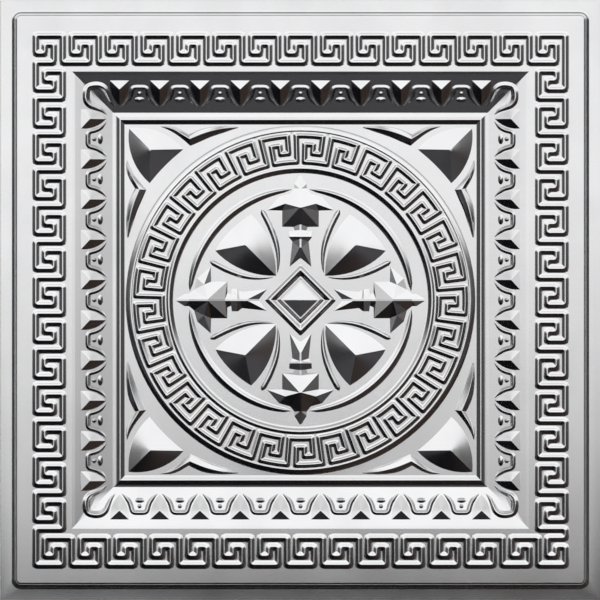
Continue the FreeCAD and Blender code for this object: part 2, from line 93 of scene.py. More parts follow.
# Half sections of raised forms, as pairs of a share of the half width and a share of the rise
BELL = ((1.0, 0.0), (0.68, 0.15), (0.41, 0.60), (0.14, 0.965), (0.0, 1.0))
ROUND = ((1.0, 0.0), (0.84, 0.08), (0.60, 0.50), (0.38, 0.88), (0.18, 0.99), (0.0, 1.0))
SLIGHT = ((1.0, 0.0), (0.62, 0.38), (0.2, 0.92), (0.0, 1.0))
SWELL = ((1.0, 0.0), (0.9, 0.06), (0.55, 0.5), (0.2, 0.94), (0.08, 0.99), (0.0, 1.0))
TERRACE = ((1.0, 0.0), (0.93, 0.08), (0.82, 0.30), (0.72, 0.40), (0.28, 0.74), (0.10, 0.97),
           (0.0, 1.0))
FALL = ((1.0, 0.0), (0.88, 0.16), (0.70, 0.36), (0.45, 0.62), (0.22, 0.86), (0.08, 0.97),
        (0.0, 1.0))
FACETTED = ((1.0, 0.0), (0.975, 0.02), (0.5, 0.5), (0.08, 0.92), (0.03, 0.955), (0.0, 0.96))

# How the mesh is laid out: the width of the collar round each foot, the points of a circle and of
# a small oval, the steps of an eased corner and of the step's corners, and the fineness of the
# grid on which two points count as one
COLLAR = 0.2
CIRCLE_POINTS = 112
DROP_POINTS = 10
ARC_STEPS = 2
STEP_CORNER_STEPS = 4
POINTS_PER_MM = 500


def quarter_turn(point, quarters):
    """A point turned anticlockwise about the middle of the tile."""
    x, y = point
    for _ in range(quarters % SIDES):
        x, y = -y, x
    return x, y


def turned(points, quarters):
    return [quarter_turn(point, quarters) for point in points]


def polar(radius, degrees):
    """A point at an angle measured clockwise from the top side's middle."""
    angle = math.radians(degrees)
    return radius * math.sin(angle), radius * math.cos(angle)


def mix(first, second, share):
    return tuple(a + (b - a) * share for a, b in zip(first, second))


def signed_area(loop):
    """Over zero for a loop that runs anticlockwise."""
    return sum(a[0] * b[1] - b[0] * a[1] for a, b in zip(loop, loop[1:] + loop[:1])) / 2


def directions(line, closed):
    """Unit directions into and out of each point of a line."""
    count = len(line)
    pairs = []
    for index in range(count):
        runs = []
        for start, end in ((index - 1, index), (index, index + 1)):
            if closed or (start >= 0 and end < count):
                a, b = line[start % count], line[end % count]
                length = math.hypot(b[0] - a[0], b[1] - a[1])
                runs.append(((b[0] - a[0]) / length, (b[1] - a[1]) / length))
        pairs.append((runs[0], runs[-1]))
    return pairs


def bend(into, out):
    """The angle of a turn, over zero to the left."""
    return math.atan2(into[0] * out[1] - into[1] * out[0], into[0] * out[0] + into[1] * out[1])


def offset(line, distance, closed=True):
    """A line moved to its left by a distance, with mitred corners."""
    moved = []
    for (x, y), (into, out) in zip(line, directions(line, closed)):
        stretch = distance / (1 + into[0] * out[0] + into[1] * out[1])
        moved.append((x - stretch * (into[1] + out[1]), y + stretch * (into[0] + out[0])))
    return moved


def rounded(line, radii):
    """A closed line whose corners turn into arcs of a few points, where they have a radius."""
    most_of_run = 0.45
    points = []
    runs = [math.dist(line[place - 1], line[place]) for place in range(len(line))]
    shorts = [min(run, after) for run, after in zip(runs, runs[1:] + runs[:1])]
    for (x, y), (into, out), radius, shorter in zip(line, directions(line, True), radii, shorts):
        if radius is None:
            points.append((x, y))
            continue
        turn = bend(into, out)
        half_turn = math.tan(abs(turn) / 2)
        reach = min(radius * half_turn, most_of_run * shorter)
        radius = reach / half_turn
        side = math.copysign(1.0, turn)
        centre = (x - into[0] * reach - into[1] * radius * side,
                  y - into[1] * reach + into[0] * radius * side)
        for step in range(ARC_STEPS + 1):
            angle = math.atan2(into[0] * -side, into[1] * side) + turn * step / ARC_STEPS
            points.append((centre[0] + radius * math.cos(angle),
                           centre[1] + radius * math.sin(angle)))
    return points


def smooth(points, steps):
    """An even curve through a few points, with a number of steps between each two."""
    ends = [mix(points[1], points[0], 2.0)] + list(points) + [mix(points[-2], points[-1], 2.0)]
    line = []
    for before, start, end, after in zip(ends, ends[1:], ends[2:], ends[3:]):
        for step in range(steps):
            t = step / steps
            line.append(tuple(
                s + t * ((e - b) / 2 + t * (b - 2.5 * s + 2 * e - a / 2
                                            + t * (1.5 * (s - e) + (a - b) / 2)))
                for b, s, e, a in zip(before, start, end, after)))
    line.append(tuple(points[-1]))
    return line


def bulged(start, end, sagitta, steps):
    """Points from start up to but not including end, on an arc that bulges to the right."""
    chord = math.hypot(end[0] - start[0], end[1] - start[1])
    along = ((end[0] - start[0]) / chord, (end[1] - start[1]) / chord)
    radius = (chord * chord / 4 + sagitta * sagitta) / (2 * abs(sagitta))
    middle = mix(start, end, 0.5)
    points = []
    for step in range(steps):
        run = chord * (step / steps - 0.5)
        depth = math.copysign(math.sqrt(radius * radius - run * run) - radius + abs(sagitta), sagitta)
        points.append((middle[0] + run * along[0] + depth * along[1],
                       middle[1] + run * along[1] - depth * along[0]))
    return points


def evenly(values, count):
    """Values spread evenly over a number of stations."""
    spread = []
    for station in range(count):
        place = station / (count - 1) * (len(values) - 1)
        first = min(int(place), len(values) - 2)
        spread.append(values[first] + (values[first + 1] - values[first]) * (place - first))
    return spread


def square(half, corner=0.0):
    """A square's corners, or points round its rounded corners, anticlockwise."""
    points = []
    for quarter in range(SIDES):
        if corner <= 0:
            points.append(quarter_turn((half, half), quarter))
            continue
        for step in range(STEP_CORNER_STEPS + 1):
            angle = math.pi / 2 * step / STEP_CORNER_STEPS
            point = (half - corner + corner * math.cos(angle),
                     half - corner + corner * math.sin(angle))
            points.append(quarter_turn(point, quarter))
    return points


def step_square(half):
    """The step's square, whose corners are rounder towards its foot."""
    crest_corner = 4.0
    return square(half, crest_corner + half - FIELD_EDGE)


def circle(radius):
    return [polar(radius, -360 * place / CIRCLE_POINTS) for place in range(CIRCLE_POINTS)]


def lozenge(half):
    """The centre's diamond with eased corners, down to one point at the pyramid's tip."""
    if half == 0:
        return [(0.0, 0.0)] * (SIDES * (ARC_STEPS + 1))
    least_radius, radius_share, tip_half, tip_radius = 0.6, 0.03, 2, 0.3
    radius = least_radius + half * radius_share if half > tip_half else tip_radius
    return rounded([(half, 0.0), (0.0, half), (-half, 0.0), (0.0, -half)], [radius] * SIDES)


def level(height):
    return lambda x, y: height


def cove_height(x, y):
    """The cove's slope on all four sides."""
    reach = max(abs(x), abs(y))
    return PANEL + (FIELD - PANEL) * (reach - COVE_INNER) / COVE_WIDTH


class Skin:
    """The pressed face as a mesh: points that are shared where they meet, and faces."""

    def __init__(self):
        self.points = []
        self.index = {}
        self.faces = []
        self.facets = []
        self.ridges = []

    def point(self, x, y, z):
        """The number of the point at a place, which is added where it is new."""
        key = tuple(round(value * POINTS_PER_MM) for value in (x, y, z))
        if key not in self.index:
            self.index[key] = len(self.points)
            self.points.append((x, y, z))
        return self.index[key]

    def loop(self, plan, ground, lift=0.0):
        """The points over a plan line, lifted off the ground under it."""
        return [self.point(x, y, ground(x, y) + lift) for x, y in plan]

    def face(self, corners, facet=False):
        """Adds a face that looks up, flat shaded if it is a facet."""
        clean = [corner for place, corner in enumerate(corners) if corner != corners[place - 1]]
        if len(set(clean)) < 3:
            return
        if signed_area([self.points[corner][:2] for corner in clean]) < 0:
            clean.reverse()
        self.faces.append(clean)
        self.facets.append(facet)

    def strip(self, first, second):
        for place in range(len(first)):
            self.face((first[place - 1], first[place], second[place], second[place - 1]))

    def rings(self, loops):
        for first, second in zip(loops, loops[1:]):
            self.strip(first, second)

    def fill(self, outer, holes, creases=()):
        """Triangles on the level or sloping ground inside one loop and outside the others."""
        all_triangles, touching = 0, 1e-5
        loops = [outer] + list(holes)
        used = sorted(set(i for line in loops + list(creases) for i in line))
        place = {index: number for number, index in enumerate(used)}
        plan = [Vector(self.points[index][:2]) for index in used]
        rims = []
        for loop in loops:
            rim = [place[index] for index in loop]
            anticlockwise = signed_area([tuple(plan[corner]) for corner in rim]) > 0
            rims.append(rim if anticlockwise else rim[::-1])
        lines = [(place[a], place[b]) for a, b in creases]
        _, _, faces, origins, _, regions = delaunay_2d_cdt(plan, lines, rims, all_triangles,
                                                           touching)
        for face, region in zip(faces, regions):
            if region == [0]:
                self.face([used[origins[corner][0]] for corner in face])


def collar(skin, outline, ground):
    """A loop on the ground close round a form's foot, so that the ground stays flat up to it."""
    out = -COLLAR if signed_area(outline) > 0 else COLLAR
    return skin.loop(offset(outline, out), ground)


def swept(skin, shape, section, base=0.0):
    """A cross section carried round a shape. Returns its loops."""
    loops = [skin.loop(shape(reach), level(base), height) for reach, height in section]
    skin.rings(loops)
    return loops


def mound(skin, outline, core, ground, rises, sections):
    """A form that rises from an outline to its core, with a half section for each of its points.

    Returns the collar round it, for the fill. A crisp ridge runs up from each sharp corner, and
    round the foot of a slight form.
    """
    sharp_corner = 0.85
    loops = [collar(skin, outline, ground)]
    corners = [place for place, (into, out) in enumerate(directions(outline, True))
               if into[0] * out[0] + into[1] * out[1] < sharp_corner]
    for stations in zip(*sections):
        plan = [mix(middle, edge, share)
                for edge, middle, (share, _) in zip(outline, core, stations)]
        loops.append([skin.point(x, y, ground(x, y) + rise * height)
                      for (x, y), rise, (_, height) in zip(plan, rises, stations)])
    skin.rings(loops)
    for corner in corners:
        skin.ridges += [(near[corner], far[corner]) for near, far in zip(loops[1:], loops[2:])]
    if all(stations == SLIGHT for stations in sections):
        foot = loops[1]
        skin.ridges += list(zip(foot, foot[1:] + foot[:1]))
    return loops[0]


def ridge(skin, crest, half_widths, rise, ground, turn, section):
    """A raised line that tapers as its half widths say, lower where it is narrow."""
    rise_for_width = 1.25
    left, right = [], []
    for (x, y), near, half in zip(crest, offset(crest, 1.0, closed=False), half_widths):
        run = math.hypot(near[0] - x, near[1] - y)
        across = ((near[0] - x) / run * half, (near[1] - y) / run * half)
        left.append((x + across[0], y + across[1]))
        right.append((x - across[0], y - across[1]))
    outline = left + right[::-1]
    core = list(crest) + list(crest)[::-1]
    widest = max(half_widths)
    lifts = [rise * min(1.0, half / widest * rise_for_width) for half in half_widths]
    return mound(skin, turned(outline, turn), turned(core, turn), ground, lifts + lifts[::-1],
                 [section] * len(core))


def curved_ridge(skin, points, half_widths, rise, ground, turn, steps, section):
    crest = smooth(points, steps)
    return ridge(skin, crest, evenly(half_widths, len(crest)), rise, ground, turn, section)


def crowned(skin, outline, crown, rise, ground, turn, section=FACETTED, fullness=0.0):
    """Facets that rise from an outline to one crown, fuller towards the outline's first point."""
    far = max(math.dist(outline[0], point) for point in outline)
    sections = []
    for point in outline:
        extra = fullness * (1 - math.dist(outline[0], point) / far) ** 2
        sections.append([(share, height + extra * 4 * share * (1 - share))
                         for share, height in section])
    count = len(outline)
    return mound(skin, turned(outline, turn), [quarter_turn(crown, turn)] * count, ground,
                 [rise] * count, sections)


def raised_line(skin, line, ground, half_width, rise, crest_radius, outer_radius, inner_radius):
    """A closed raised line. Returns the collar on its left and the one on its right."""
    least_turn = 0.4
    turns = [bend(into, out) for into, out in directions(line, True)]
    section = [(half_width + COLLAR, 0.0)] + [(share * half_width, height) for share, height in BELL]
    section += [(-shift, height) for shift, height in reversed(section[:-1])]
    loops = []
    for shift, height in section:
        share = abs(shift) / half_width
        radii = []
        for turn in turns:
            foot_radius = outer_radius if turn * shift < 0 else inner_radius
            radius = crest_radius + (foot_radius - crest_radius) * share
            radii.append(radius if abs(turn) > least_turn else None)
        loops.append(skin.loop(rounded(offset(line, shift), radii), ground, rise * height))
    skin.rings(loops)
    return loops[0], loops[-1]


def flange_and_step(skin):
    """The flange with the step up from it. Returns the tile's rim and the top of the step."""
    step = swept(skin, step_square, STEP_SECTION)
    rim = skin.loop(square(TILE_HALF), level(0.0))
    skin.fill(rim, [step[0]])
    return rim, step[-1]


def key_line():
    """The border's centreline on its square grid, in columns and rows from the top left corner."""
    last = KEY_CELLS
    line = []
    for motif in range(KEY_MOTIFS + 1):
        c = MOTIF_CELLS * motif
        line += [(c + 2, 3), (c + 2, 1), (c + 1, 1), (c + 1, 2), (c, 2), (c, 0), (c + 3, 0)]
        if motif < KEY_MOTIFS:
            line.append((c + 3, 3))
    for motif in range(KEY_MOTIFS - 1):
        r = MOTIF_CELLS * motif
        line += [(last, r + 6), (last - 2, r + 6), (last - 2, r + 5), (last - 1, r + 5)]
        line += [(last - 1, r + 4), (last - 3, r + 4), (last - 3, r + 7), (last, r + 7)]
    line += [(last, last - 3), (last - 2, last - 3), (last - 2, last - 1), (last - 1, last - 1)]
    line += [(last - 1, last - 2), (last, last - 2), (last, last), (last - 3, last)]
    line.append((last - 3, last - 3))
    for motif in reversed(range(KEY_MOTIFS)):
        c = MOTIF_CELLS * motif
        line += [(c + 1, last - 3), (c + 1, last - 1), (c + 2, last - 1), (c + 2, last - 2)]
        line += [(c + 3, last - 2), (c + 3, last), (c, last)]
        if motif > 0:
            line.append((c, last - 3))
    for motif in reversed(range(KEY_MOTIFS - 1)):
        r = MOTIF_CELLS * motif
        line += [(0, r + 7), (3, r + 7), (3, r + 4), (1, r + 4), (1, r + 5), (2, r + 5)]
        line += [(2, r + 6), (0, r + 6)]
    line.append((0, 3))
    return [(c * KEY_UNIT - KEY_HALF, KEY_HALF - r * KEY_UNIT) for c, r in line]


def border(skin, field_edge, cove_edge):
    """The level field with its key line, from the top of the step to the cove."""
    outside, inside = raised_line(skin, key_line(), level(FIELD), half_width=4.2, rise=1.8,
                                  crest_radius=2.4, outer_radius=5.0, inner_radius=1.2)
    skin.fill(field_edge, [outside])
    skin.fill(inside, [cove_edge])


# The medallion's key line: the motifs round the ring, the angle at which they start, and the
# radii of its outermost and innermost runs
RING_MOTIFS = 29
RING_START = 1.5
RING_OUTER = 165.5
RING_INNER = 139.1


def ring_key_line():
    """The border's motif bent round the ring floor."""
    row = (RING_OUTER - RING_INNER) / 3
    cell = 360.0 / (MOTIF_CELLS * RING_MOTIFS)
    motif_line = ((0, 3), (0, 0), (1, 0), (2, 0), (3, 0), (3, 2), (2, 2), (2, 1), (1, 1), (1, 3),
                  (2, 3), (3, 3))
    line = []
    for motif in range(RING_MOTIFS):
        for column, step in motif_line:
            angle = (MOTIF_CELLS * motif + column) * cell - RING_START
            line.append(polar(RING_OUTER - step * row, angle))
    return line


def medallion(skin):
    """The raised ring with its key line. Returns its outer and inner feet."""
    outer = swept(skin, circle, OUTER_RIM_SECTION)
    inner = swept(skin, circle, INNER_RIM_SECTION)
    outside, inside = raised_line(skin, ring_key_line(), level(RING_FLOOR), half_width=3.3,
                                  rise=1.8, crest_radius=1.2, outer_radius=2.8, inner_radius=0.8)
    skin.fill(outer[-1], [outside])
    skin.fill(inside, [inner[0]])
    return outer[0], inner[-1]


# The darts on the cove: how many stand on a side and how far apart, and where each one's base,
# highest point and tip lie
DARTS = 10
DART_PITCH = 40.4
DART_HALF_WIDTH = 9.6
DART_BASE = 220.4
DART_CROWN = 211.4
DART_TIP = 195.4

# An arch: half of its centreline from the foot up, its top, and its half widths all along
ARCH_SIDE = [(17.6, 194.9), (13.8, 198.3), (10.5, 202.5), (8.6, 207.2), (7.6, 211.0), (5.4, 213.2)]
ARCH_TOP = (0.0, 213.4)
ARCH_WIDTHS = (0.3, 2.4, 2.6, 2.6, 2.6, 2.6, 2.6, 2.4, 0.3)

# The bead and the bar inside an arch: the middle, half the width, half the length, and the rise
ARCH_DROPS = ((207.2, 2.2, 2.2, 1.5), (201.2, 5.2, 2.6, 1.8))

# A corner's curl, laid out as an arch is
CURL_SIDE = [(194.9, 186.4), (199.8, 190.5), (206.1, 193.3), (211.4, 195.8), (214.7, 200.2),
             (215.4, 206.6)]
CURL_TOP = (213.4, 213.4)
CURL_WIDTHS = (0.3, 1.9, 2.7, 3.3, 3.7, 3.8, 3.6, 3.8, 3.7, 3.3, 2.7, 1.9, 0.3)


def along_side(count):
    """Places at the darts' pitch along a side of the cove."""
    return [(place - (count - 1) / 2) * DART_PITCH for place in range(count)]


def dart(skin, shift, turn):
    """One dart on the cove's slope: a straight base and two curved sides down to its tip."""
    left, right = (-DART_HALF_WIDTH, DART_BASE), (DART_HALF_WIDTH, DART_BASE)
    tip = (0.0, DART_TIP)
    outline = bulged(right, left, sagitta=0.01, steps=2)
    outline += bulged(left, tip, sagitta=3.2, steps=6)
    outline += bulged(tip, right, sagitta=3.2, steps=6)
    outline = [(x + shift, y) for x, y in outline]
    return crowned(skin, outline, (shift, DART_CROWN), rise=4.4, ground=cove_height, turn=turn)


def arch(skin, shift, turn):
    """One arch between two darts, with a small bead and a bar inside it."""
    points = ARCH_SIDE + [ARCH_TOP] + [(-x, y) for x, y in reversed(ARCH_SIDE)]
    points = [(x + shift, y) for x, y in points]
    collars = [curved_ridge(skin, points, ARCH_WIDTHS, rise=1.8, ground=cove_height, turn=turn,
                            steps=2, section=SLIGHT)]
    for middle, half_width, half_length, rise in ARCH_DROPS:
        angles = [math.pi * 2 * place / DROP_POINTS for place in range(DROP_POINTS)]
        outline = [(shift + half_width * math.cos(angle), middle + half_length * math.sin(angle))
                   for angle in angles]
        collars.append(crowned(skin, outline, (shift, middle), rise, cove_height, turn, SLIGHT))
    return collars


def curl(skin, turn):
    """The curl round a mitred corner of the cove."""
    points = CURL_SIDE + [CURL_TOP] + [(y, x) for x, y in reversed(CURL_SIDE)]
    return curved_ridge(skin, points, CURL_WIDTHS, rise=2.3, ground=cove_height, turn=turn,
                        steps=3, section=SWELL)


def cove(skin):
    """The cove with its ornament and the bead under it. Returns its outer and inner edges."""
    edge = swept(skin, square, COVE_EDGE_SECTION)
    bead = swept(skin, square, BEAD_SECTION)
    holes = []
    mitres = []
    for turn in range(SIDES):
        holes += [dart(skin, shift, turn) for shift in along_side(DARTS)]
        for shift in along_side(DARTS - 1):
            holes += arch(skin, shift, turn)
        holes.append(curl(skin, turn))
        on_mitre = sorted(holes[-1], key=lambda i: abs(abs(skin.points[i][0])
                                                       - abs(skin.points[i][1])))[:2]
        low, high = sorted(on_mitre, key=lambda i: abs(skin.points[i][0]))
        mitres += [(bead[0][turn], low), (high, edge[-1][turn])]
    for loops in (edge, bead):
        for first, second in zip(loops, loops[1:]):
            skin.ridges += list(zip(first, second))
    skin.ridges += mitres
    skin.fill(edge[-1], [bead[0]] + holes, mitres)
    return edge[0], bead[-1]


def leaf(skin, turn):
    """The leaf in a corner of the panel, hollowed where it faces the medallion."""
    corner, crown, hollow_radius, tip_x = 172.6, 150.9, 191.7, 117.4
    bow, steps = 7.4, 10
    tip = (tip_x, math.sqrt(hollow_radius * hollow_radius - tip_x * tip_x))
    other = (tip[1], tip[0])
    chord = math.hypot(tip[0] - other[0], tip[1] - other[1])
    dip = hollow_radius - math.sqrt(hollow_radius * hollow_radius - chord * chord / 4)
    outline = bulged((corner, corner), tip, bow, steps)
    outline += bulged(tip, other, -dip, steps)
    outline += bulged(other, (corner, corner), bow, steps)
    return crowned(skin, outline, (crown, crown), rise=7.0, ground=level(PANEL), turn=turn,
                   fullness=0.1)


# The lower edge, the crest and the upper edge of a winged line, each in its two wings
WING_LOW = (((140.2, 173.9), (134.2, 171.6), (126.5, 167.4), (119.4, 162.3), (110.6, 155.0)),
            ((110.6, 155.0), (100.1, 159.5), (89.9, 164.0), (76.0, 168.6), (62.8, 172.9)))
WING_CREST = (((139.8, 174.2), (132.0, 173.0), (124.0, 169.6), (117.0, 165.2), (111.3, 162.0)),
              ((111.3, 162.0), (100.3, 166.6), (90.0, 169.9), (78.0, 172.4), (63.2, 173.6)))
WING_HIGH = (((140.2, 174.6), (131.0, 175.0), (121.6, 171.9), (115.6, 168.4), (112.2, 166.4)),
             ((112.2, 166.4), (100.2, 172.0), (90.2, 174.2), (78.2, 175.2), (62.8, 174.3)))


def winged_lines(skin, turn):
    """The two bird shaped raised lines beside a leaf, each from two curved wings that meet."""
    rise = 2.7
    collars = []
    for swapped in (False, True):
        lines = []
        for short_wing, long_wing in (WING_LOW, WING_CREST, WING_HIGH):
            line = smooth(short_wing, steps=2) + smooth(long_wing, steps=2)[1:]
            lines.append(turned([(y, x) if swapped else (x, y) for x, y in line], turn))
        low, crest, high = lines
        half = len(crest) // 2
        sections = [FALL] * (half + 1) + [TERRACE] * half
        rises = [min(rise, 0.5 * math.dist(near, far)) for near, far in zip(low, high)]
        collars.append(mound(skin, low + high[::-1], crest + crest[::-1], level(PANEL),
                             rises + rises[::-1], sections + sections[::-1]))
    return collars


def petal(skin, turn):
    """A petal on the disc's diagonal, from its root at the diamond to its arched end."""
    root, end, crown = 34.6, 99.2, 78.3
    middle, spread = 45, 15
    bow, steps = 7.2, 10
    root_point = polar(root, middle)
    left, right = polar(end, middle - spread), polar(end, middle + spread)
    outline = bulged(root_point, right, bow, steps)
    outline += bulged(right, left, end * (1 - math.cos(math.radians(spread))), steps)
    outline += bulged(left, root_point, bow, steps)
    return crowned(skin, outline, polar(crown, middle), rise=7.0, ground=level(PANEL), turn=turn,
                   fullness=0.24)


# A petal's rib, from its outer end to the diamond, with its half widths
RIB_LINE = [(38.9, 90.8), (37.3, 87.4), (31.0, 75.2), (25.9, 62.2), (23.2, 51.2), (22.3, 41.3),
            (22.6, 32.4), (23.3, 27.4)]
RIB_WIDTHS = (0.3, 2.9, 3.1, 2.9, 2.4, 1.8, 1.1, 0.2)


def petal_ribs(skin, turn):
    """The raised lines on both sides of a petal."""
    return [curved_ridge(skin, line, RIB_WIDTHS, rise=2.3, ground=level(PANEL), turn=turn,
                         steps=2, section=ROUND)
            for line in (RIB_LINE, [(y, x) for x, y in RIB_LINE])]


def crescent(skin, turn):
    """The thin crescent round a petal's end."""
    radius, start, sweep = 111.6, 4.7, 80.6
    tip_half, swell, fullness = 0.25, 4.6, 0.4
    last = 22
    crest = [polar(radius, start + sweep * place / last) for place in range(last + 1)]
    halves = [tip_half + swell * math.sin(math.pi * place / last) ** fullness
              for place in range(last + 1)]
    return ridge(skin, crest, halves, rise=2.0, ground=level(PANEL), turn=turn, section=BELL)


# One arm of the cross: half of its outline from the tip inwards, its raised corners with their
# heights over the panel, and the flat facets between them
ARM_RIDGE_HALF = 0.9
ARM_FOOT = {
    "tip": (ARM_RIDGE_HALF, 125.0), "spear": (6.2, 116.6), "neck": (6.2, 112.2),
    "shoulder": (10.4, 107.0), "brow": (21.6, 103.8), "wing": (33.6, 90.2), "pit": (18.4, 89.8),
    "hip": (18.4, 73.6), "hem": (7.4, 73.4), "waist": (5.8, 69.9), "knot": (11.4, 69.0),
    "knot_foot": (11.4, 62.8), "stem": (8.2, 58.8), "tail": (10.9, 33.4),
    "notch": (ARM_RIDGE_HALF, 41.6)}
ARM_CREST = {
    "spine": (ARM_RIDGE_HALF, 112.0, 1.6), "apex": (ARM_RIDGE_HALF, 92.9, 7.0),
    "wing_crest": (15.4, 96.8, 2.6), "roof": (ARM_RIDGE_HALF, 75.8, 1.9),
    "dip": (ARM_RIDGE_HALF, 70.4, 1.9), "knot_ridge": (ARM_RIDGE_HALF, 63.6, 3.2),
    "knot_end": (11.0, 63.6, 1.7), "roof_low": (ARM_RIDGE_HALF, 61.2, 2.9),
    "roof_end": (ARM_RIDGE_HALF, 52.8, 2.9)}
ARM_FACETS = (
    ("apex", "spine", "shoulder"), ("apex", "shoulder", "wing_crest"),
    ("spine", "neck", "shoulder"), ("wing_crest", "shoulder", "brow"),
    ("wing_crest", "brow", "wing"), ("spine", "tip", "spear"), ("spine", "spear", "neck"),
    ("apex", "wing_crest", "pit"), ("wing_crest", "wing", "pit"), ("apex", "pit", "hip"),
    ("apex", "hip", "roof"), ("roof", "hip", "hem"), ("roof", "hem", "waist", "dip"),
    ("dip", "waist", "knot"), ("dip", "knot", "knot_end", "knot_ridge"),
    ("knot", "knot_foot", "knot_end"), ("knot_ridge", "knot_end", "knot_foot", "roof_low"),
    ("roof_low", "knot_foot", "stem"), ("roof_low", "stem", "roof_end"),
    ("roof_end", "stem", "tail"), ("roof_end", "tail", "notch"))
ARM_RIDGE = ("tip", "spine", "apex", "roof", "dip", "knot_ridge", "roof_low", "roof_end", "notch")


def arm(skin, turn):
    """One arm of the cross, from flat facets with a narrow level ridge along its middle."""
    def corner(name, mirrored):
        x, y, height = ARM_CREST[name] if name in ARM_CREST else ARM_FOOT[name] + (0.0,)
        return skin.point(*quarter_turn((-x if mirrored else x, y), turn), PANEL + height)

    for mirrored in (False, True):
        for names in ARM_FACETS:
            skin.face([corner(name, mirrored) for name in names], facet=True)
    for near, far in zip(ARM_RIDGE, ARM_RIDGE[1:]):
        skin.face([corner(near, False), corner(far, False), corner(far, True),
                   corner(near, True)], facet=True)
    half = list(ARM_FOOT.values())
    plan = turned(half + [(-x, y) for x, y in reversed(half)], turn)
    outer = collar(skin, plan, level(PANEL))
    skin.strip(outer, skin.loop(plan, level(PANEL)))
    return outer


def build_front():
    """The whole pressed face. Returns it with its rim."""
    skin = Skin()
    rim, field_edge = flange_and_step(skin)
    cove_edge, panel_edge = cove(skin)
    border(skin, field_edge, cove_edge)
    ring_foot, disc_edge = medallion(skin)
    holes = [ring_foot]
    for turn in range(SIDES):
        holes.append(leaf(skin, turn))
        holes += winged_lines(skin, turn)
    skin.fill(panel_edge, holes)
    holes = [swept(skin, lozenge, DIAMOND_SECTION, PANEL)[0]]
    for turn in range(SIDES):
        holes += [arm(skin, turn), petal(skin, turn), crescent(skin, turn)]
        holes += petal_ribs(skin, turn)
    skin.fill(disc_edge, holes)
    return skin, rim


def pressed_marks(points, faces):
    """How far each point stands out of its neighbours: over 0.5 on crests, under it in creases."""
    shortest = 0.05
    rises = [0.0] * len(points)
    counts = [0] * len(points)
    for face in faces:
        for a, b in zip(face, face[1:] + face[:1]):
            run = math.hypot(points[a][0] - points[b][0], points[a][1] - points[b][1])
            if run > shortest:
                rise = (points[a][2] - points[b][2]) * (1 / run)
                rises[a] += rise
                rises[b] -= rise
                counts[a] += 1
                counts[b] += 1
    return [0.5 + 0.5 * max(-1.0, min(1.0, total / max(count, 1)))
            for total, count in zip(rises, counts)]


def build_sheet():
    """The whole sheet: the pressed face, the same face one thickness lower, and the cut edge."""
    sharp_angle = math.radians(36)
    skin, rim = build_front()
    count = len(skin.points)
    points = [(x * MM, y * MM, (z + SHEET) * MM) for x, y, z in skin.points]
    points += [(x * MM, y * MM, z * MM) for x, y, z in skin.points]
    faces = skin.faces + [[corner + count for corner in reversed(face)] for face in skin.faces]
    facets = skin.facets + skin.facets
    for before, after in zip(rim[-1:] + rim, rim):
        faces.append([before + count, after + count, after, before])
        facets.append(True)
    mesh = bpy.data.meshes.new("tinplate_tile")
    mesh.from_pydata(points, [], faces)
    mesh.set_sharp_from_angle(angle=sharp_angle)
    mesh.polygons.foreach_set("use_smooth", [not facet for facet in facets])
    ridges = set(frozenset(ends) for ends in skin.ridges)
    ridges |= set(frozenset(corner + count for corner in ends) for ends in ridges)
    sharp = (mesh.attributes.get("sharp_edge")
             or mesh.attributes.new("sharp_edge", "BOOLEAN", "EDGE"))
    for edge in mesh.edges:
        if frozenset(edge.vertices) in ridges:
            sharp.data[edge.index].value = True
    marks = pressed_marks(skin.points, skin.faces)
    relief = mesh.attributes.new("relief", "FLOAT", "POINT")
    relief.data.foreach_set("value", marks + [1 - mark for mark in marks])
    mesh.update()
    sheet = bpy.data.objects.new("tinplate_tile", mesh)
    bpy.context.scene.collection.objects.link(sheet)
    shading = sheet.modifiers.new("even_shading", "WEIGHTED_NORMAL")
    shading.keep_sharp = True
    return sheet


class Value:
    """A shader socket that can stand in a Python expression."""

    def __init__(self, finish, socket):
        self.finish = finish
        self.socket = socket

    def worked(self, operation, first, second):
        return self.finish.node("ShaderNodeMath", {"operation": operation}, {0: first, 1: second})

    def __add__(self, other):
        return self.worked("ADD", self, other)

    def __radd__(self, other):
        return self.worked("ADD", other, self)

    def __sub__(self, other):
        return self.worked("SUBTRACT", self, other)

    def __rsub__(self, other):
        return self.worked("SUBTRACT", other, self)

    def __mul__(self, other):
        return self.worked("MULTIPLY", self, other)

    def __rmul__(self, other):
        return self.worked("MULTIPLY", other, self)


class Finish:
    """A node tree under construction."""

    def __init__(self, tree):
        self.tree = tree
        tree.nodes.clear()

    def node(self, kind, settings, sockets, output=0):
        """Adds a node: its settings first, then the values or links of its sockets."""
        made = self.tree.nodes.new(kind)
        for name, value in settings.items():
            setattr(made, name, value)
        for name, value in sockets.items():
            if isinstance(value, Value):
                self.tree.links.new(value.socket, made.inputs[name])
            else:
                made.inputs[name].default_value = value
        return Value(self, made.outputs[output]) if made.outputs else None

    def mix(self, share, first, second):
        """A colour between two colours."""
        factor, a_colour, b_colour, colour = 0, 6, 7, 2
        return self.node("ShaderNodeMix", {"data_type": "RGBA"},
                         {factor: share, a_colour: first, b_colour: second}, colour)

    def span(self, value, start, end, first=0.0, second=1.0):
        """A value spread smoothly from one range into another."""
        return self.node("ShaderNodeMapRange", {"interpolation_type": "SMOOTHSTEP"},
                         {"Value": value, "From Min": start, "From Max": end,
                          "To Min": first, "To Max": second})

    def noise(self, place, scale, detail, roughness):
        return self.node("ShaderNodeTexNoise", {}, {"Vector": place, "Scale": scale,
                                                    "Detail": detail, "Roughness": roughness})

    def stretched(self, place, factors):
        return self.node("ShaderNodeVectorMath", {"operation": "MULTIPLY"}, {0: place, 1: factors})

    def along(self, place, axis):
        return self.node("ShaderNodeSeparateXYZ", {}, {"Vector": place}, axis)


